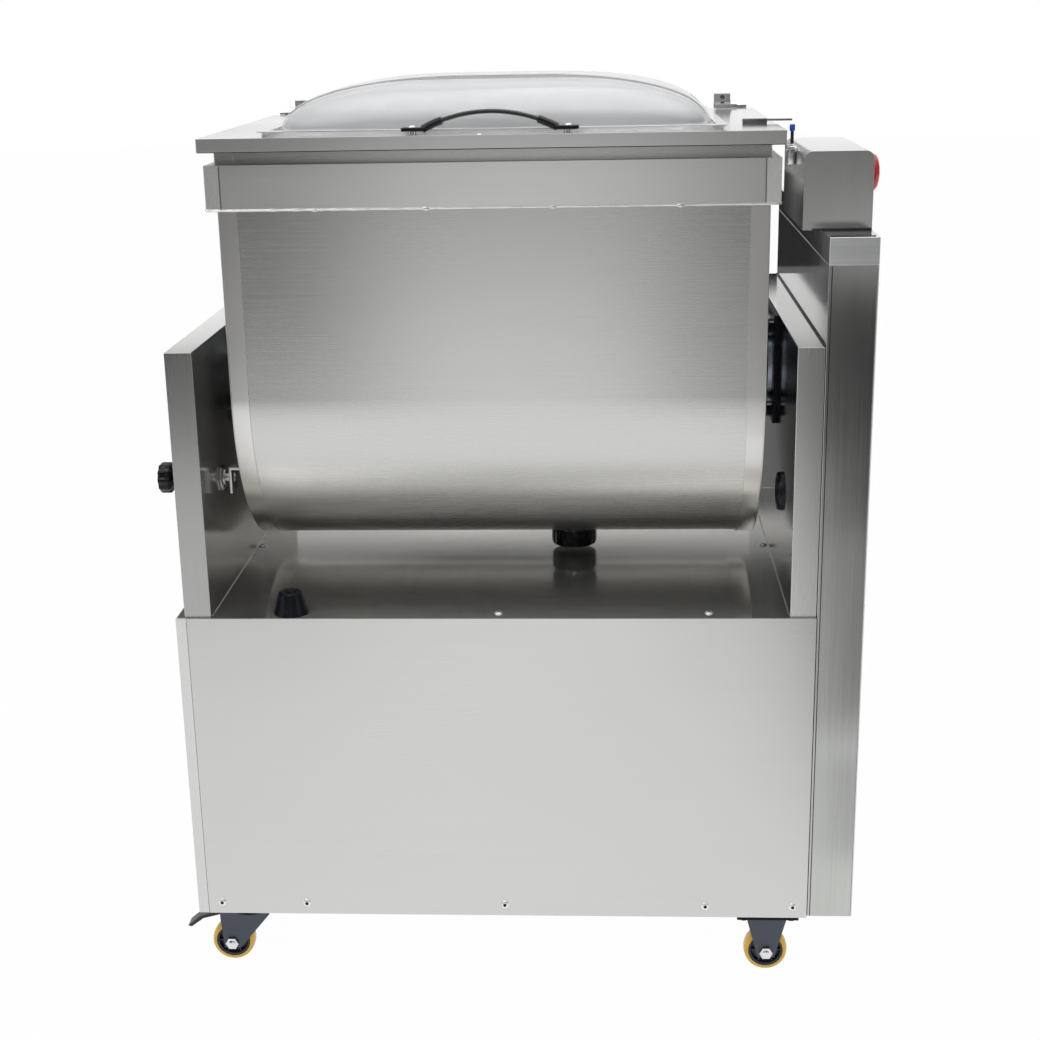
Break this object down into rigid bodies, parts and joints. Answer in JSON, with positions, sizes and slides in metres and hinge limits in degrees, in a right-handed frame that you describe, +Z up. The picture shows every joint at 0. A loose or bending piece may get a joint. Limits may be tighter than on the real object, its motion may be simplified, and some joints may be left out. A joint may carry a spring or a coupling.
{
  "type": "tilting meat mixer",
  "caption": "Tilting paddle meat mixer: U-shaped steel trough with a domed lid between two uprights, on a wheeled cabinet with a chain-drive column at one side.",
  "frame": {"origin": "centre of the machine's footprint, on the floor", "axes": "+X towards the drive column, +Y towards the rear, +Z up"},
  "size_m": [0.805, 0.5462, 1.0102],
  "materials": {
    "brushed_sheet": "brushed stainless sheet",
    "bright_steel": "bright turned stainless",
    "black_rubber": "matt moulded rubber",
    "black_plastic": "satin black moulding",
    "cast_housing": "painted casting",
    "bronze": "oiled bronze",
    "chain_steel": "oiled steel",
    "clear_acrylic": "clear blown acrylic",
    "red_plastic": "gloss red",
    "green_plastic": "gloss green",
    "dark_zinc": "dark grey coated pressing",
    "yellow_polyurethane": "cast polyurethane tread",
    "dark_nylon": "moulded nylon"
  },
  "bodies": {
    "cabinet": {"base_tray": "brushed_sheet", "front_panel": "brushed_sheet", "left_side_panel": "brushed_sheet", "rear_panel": "brushed_sheet", "deck_plate": "brushed_sheet", "cabinet_screws": "bright_steel", "cable_gland": "black_plastic", "rubber_stops": "black_rubber", "left_cheek": "brushed_sheet", "right_cheek": "brushed_sheet", "column_shell": "brushed_sheet", "column_cover": "brushed_sheet", "column_cap": "brushed_sheet", "control_box": "brushed_sheet", "button_plate": "bright_steel", "lid_sensor": "black_plastic", "bearing_housings": "cast_housing", "bearing_bushes": "bronze", "drive_chain": "chain_steel", "gearbox": "cast_housing", "gearbox_stand": "chain_steel", "motor": "cast_housing", "caster_mounts": "dark_zinc"},
    "trough": {"left_trunnion": "bright_steel", "right_trunnion": "bright_steel", "trough_shell": "brushed_sheet", "left_trough_end": "brushed_sheet", "right_trough_end": "brushed_sheet", "trough_rim": "brushed_sheet", "shaft_seals": "black_rubber", "hinge_brackets": "bright_steel"},
    "lid": {"lid_frame": "brushed_sheet", "dome": "clear_acrylic", "dome_clamp": "bright_steel", "lid_seal": "black_rubber", "handle": "black_plastic", "handle_feet": "bright_steel", "lid_striker": "bright_steel"},
    "agitator": {"agitator_shaft": "bright_steel", "agitator_paddles": "bright_steel", "driven_sprocket": "chain_steel"},
    "drive_output": {"drive_sprocket": "chain_steel"},
    "drain_plug": {"drain_cap": "black_plastic"},
    "tilt_lock": {"lock_pin": "bright_steel", "lock_knob": "black_plastic"},
    "stop_switch": {"stop_button": "red_plastic"},
    "forward_switch": {"forward_button": "green_plastic"},
    "reverse_switch": {"reverse_button": "black_plastic"},
    "front_left_caster": {"front_left_fork": "dark_zinc"},
    "front_left_wheel": {"front_left_tyre": "yellow_polyurethane", "front_left_hub": "dark_nylon"},
    "front_left_brake": {"front_left_pedal": "dark_zinc"},
    "rear_left_caster": {"rear_left_fork": "dark_zinc"},
    "rear_left_wheel": {"rear_left_tyre": "yellow_polyurethane", "rear_left_hub": "dark_nylon"},
    "rear_left_brake": {"rear_left_pedal": "dark_zinc"},
    "front_right_wheel": {"front_right_tyre": "yellow_polyurethane", "front_right_hub": "dark_nylon"},
    "rear_right_wheel": {"rear_right_tyre": "yellow_polyurethane", "rear_right_hub": "dark_nylon"}
  },
  "joints": [
    {"name": "trough_tilt", "type": "hinge", "parent": "cabinet", "child": "trough", "pos_m": [-0.0158, -0.0089, 0.6748], "axis": [1, 0, 0], "range_deg": [0, 88]},
    {"name": "lid_open", "type": "hinge", "parent": "trough", "child": "lid", "pos_m": [-0.0158, 0.2041, 0.9572], "axis": [-1, 0, 0], "range_deg": [0, 100]},
    {"name": "agitator_spin", "type": "hinge", "parent": "cabinet", "child": "agitator", "pos_m": [-0.0158, -0.0089, 0.6748], "axis": [1, 0, 0], "continuous": true},
    {"name": "drive_spin", "type": "hinge", "parent": "cabinet", "child": "drive_output", "pos_m": [0.355, -0.0089, 0.24], "axis": [1, 0, 0], "continuous": true},
    {"name": "drain_turn", "type": "hinge", "parent": "trough", "child": "drain_plug", "pos_m": [0.0632, -0.0089, 0.4484], "axis": [0, 0, 1], "range_deg": [0, 90]},
    {"name": "lock_push", "type": "slide", "parent": "cabinet", "child": "tilt_lock", "axis": [1, 0, 0], "range_m": [0, 0.012]},
    {"name": "stop_press", "type": "slide", "parent": "cabinet", "child": "stop_switch", "axis": [-1, 0, 0], "range_m": [0, 0.004], "stiffness_N_per_m": 400},
    {"name": "forward_press", "type": "slide", "parent": "cabinet", "child": "forward_switch", "axis": [-1, 0, 0], "range_m": [0, 0.004], "stiffness_N_per_m": 400},
    {"name": "reverse_press", "type": "slide", "parent": "cabinet", "child": "reverse_switch", "axis": [-1, 0, 0], "range_m": [0, 0.004], "stiffness_N_per_m": 400},
    {"name": "front_left_swivel", "type": "hinge", "parent": "cabinet", "child": "front_left_caster", "pos_m": [-0.3186, -0.2309, 0.025], "axis": [0, 0, 1], "continuous": true},
    {"name": "front_left_roll", "type": "hinge", "parent": "front_left_caster", "child": "front_left_wheel", "pos_m": [-0.3416, -0.2309, 0.025], "axis": [0, 1, 0], "continuous": true},
    {"name": "front_left_brake_press", "type": "hinge", "parent": "front_left_caster", "child": "front_left_brake", "pos_m": [-0.3481, -0.2309, 0.0627], "axis": [0, -1, 0], "range_deg": [0, 12]},
    {"name": "rear_left_swivel", "type": "hinge", "parent": "cabinet", "child": "rear_left_caster", "pos_m": [-0.3186, 0.2131, 0.025], "axis": [0, 0, 1], "continuous": true},
    {"name": "rear_left_roll", "type": "hinge", "parent": "rear_left_caster", "child": "rear_left_wheel", "pos_m": [-0.3416, 0.2131, 0.025], "axis": [0, 1, 0], "continuous": true},
    {"name": "rear_left_brake_press", "type": "hinge", "parent": "rear_left_caster", "child": "rear_left_brake", "pos_m": [-0.3481, 0.2131, 0.0627], "axis": [0, -1, 0], "range_deg": [0, 12]},
    {"name": "front_right_roll", "type": "hinge", "parent": "cabinet", "child": "front_right_wheel", "pos_m": [0.2859, -0.2409, 0.025], "axis": [0, 1, 0], "continuous": true},
    {"name": "rear_right_roll", "type": "hinge", "parent": "cabinet", "child": "rear_right_wheel", "pos_m": [0.2859, 0.2231, 0.025], "axis": [0, 1, 0], "continuous": true}
  ],
  "couplings": [
    {"joint": "drive_spin", "follows": "agitator_spin", "ratio": 2}
  ]
}
